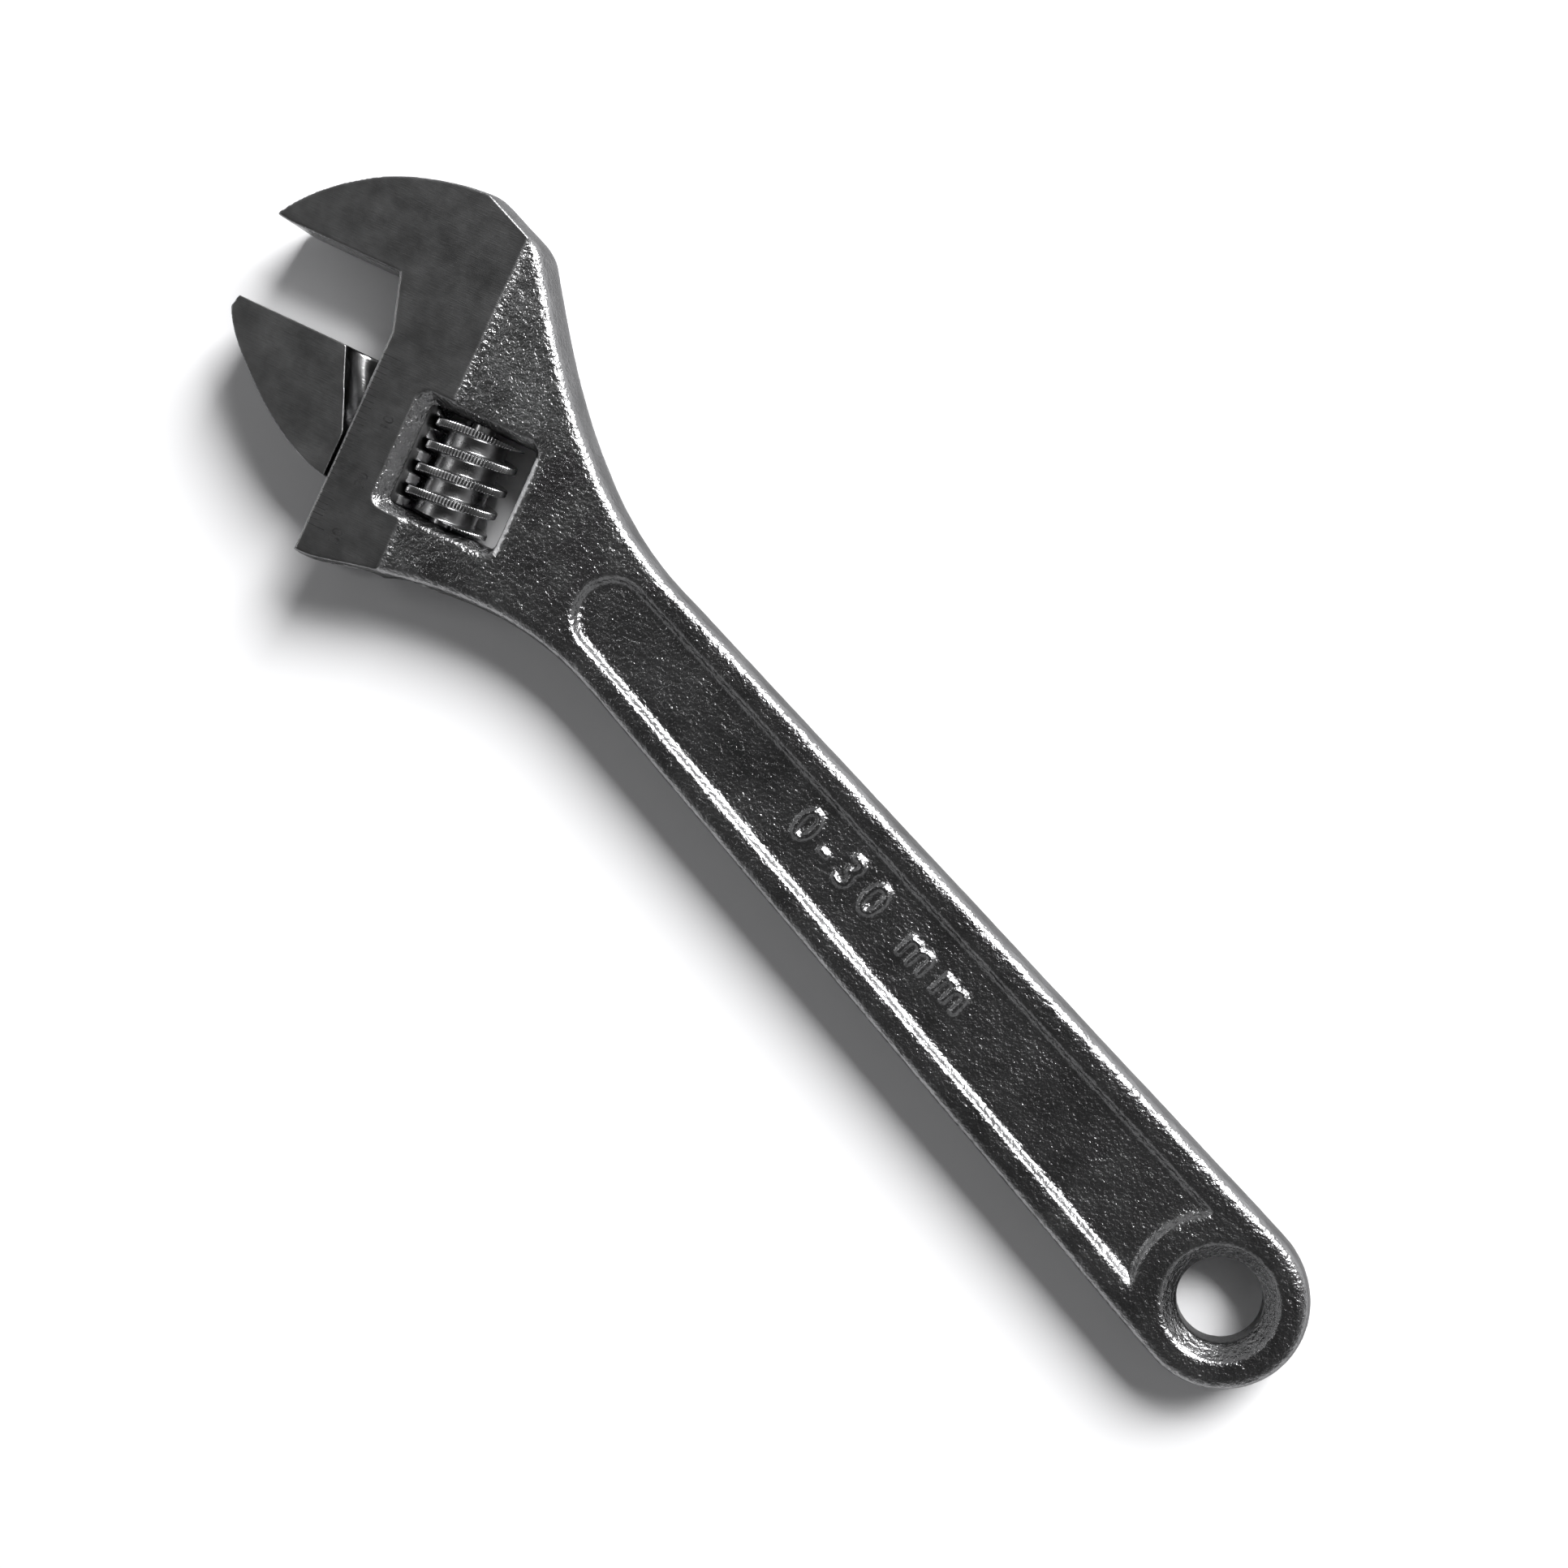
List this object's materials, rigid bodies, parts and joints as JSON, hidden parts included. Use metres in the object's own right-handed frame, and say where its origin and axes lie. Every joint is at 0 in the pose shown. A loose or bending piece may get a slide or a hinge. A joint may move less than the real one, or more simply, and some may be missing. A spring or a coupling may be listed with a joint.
{
  "type": "adjustable wrench",
  "caption": "Open-ended adjustable wrench: forged handle with fixed jaw, sliding jaw on a rack, knurled worm, hang hole.",
  "frame": {"origin": "centre of the hang hole on the mid-plane between the two flats", "axes": "+X along the handle to the head, +Z normal to the flats, +Y to the side of the moving jaw"},
  "size_m": [0.2451, 0.0638, 0.0152],
  "materials": {
    "forged_steel": "dark plated forging, slightly rough, ground flats on the head",
    "jaw_steel": "dark ground steel",
    "worm_steel": "bright plated, turned and knurled",
    "pin_steel": "turned steel",
    "spring_steel": "drawn wire"
  },
  "bodies": {
    "frame": {"body": "forged_steel", "worm_pin": "pin_steel", "worm_spring": "spring_steel"},
    "jaw": {"movable_jaw": "jaw_steel"},
    "worm": {"worm": "worm_steel"}
  },
  "joints": [
    {"name": "jaw_slide", "type": "slide", "parent": "frame", "child": "jaw", "axis": [-0.3827, 0.9239, 0], "range_m": [-0.0141, 0.0158]},
    {"name": "worm_spin", "type": "hinge", "parent": "frame", "child": "worm", "pos_m": [0.17877, 0.00364, 0], "axis": [-0.3827, 0.9239, 0], "range_deg": [-1423, 1270]}
  ],
  "couplings": [
    {"joint": "worm_spin", "follows": "jaw_slide", "rad_per_m": -1570.8}
  ]
}
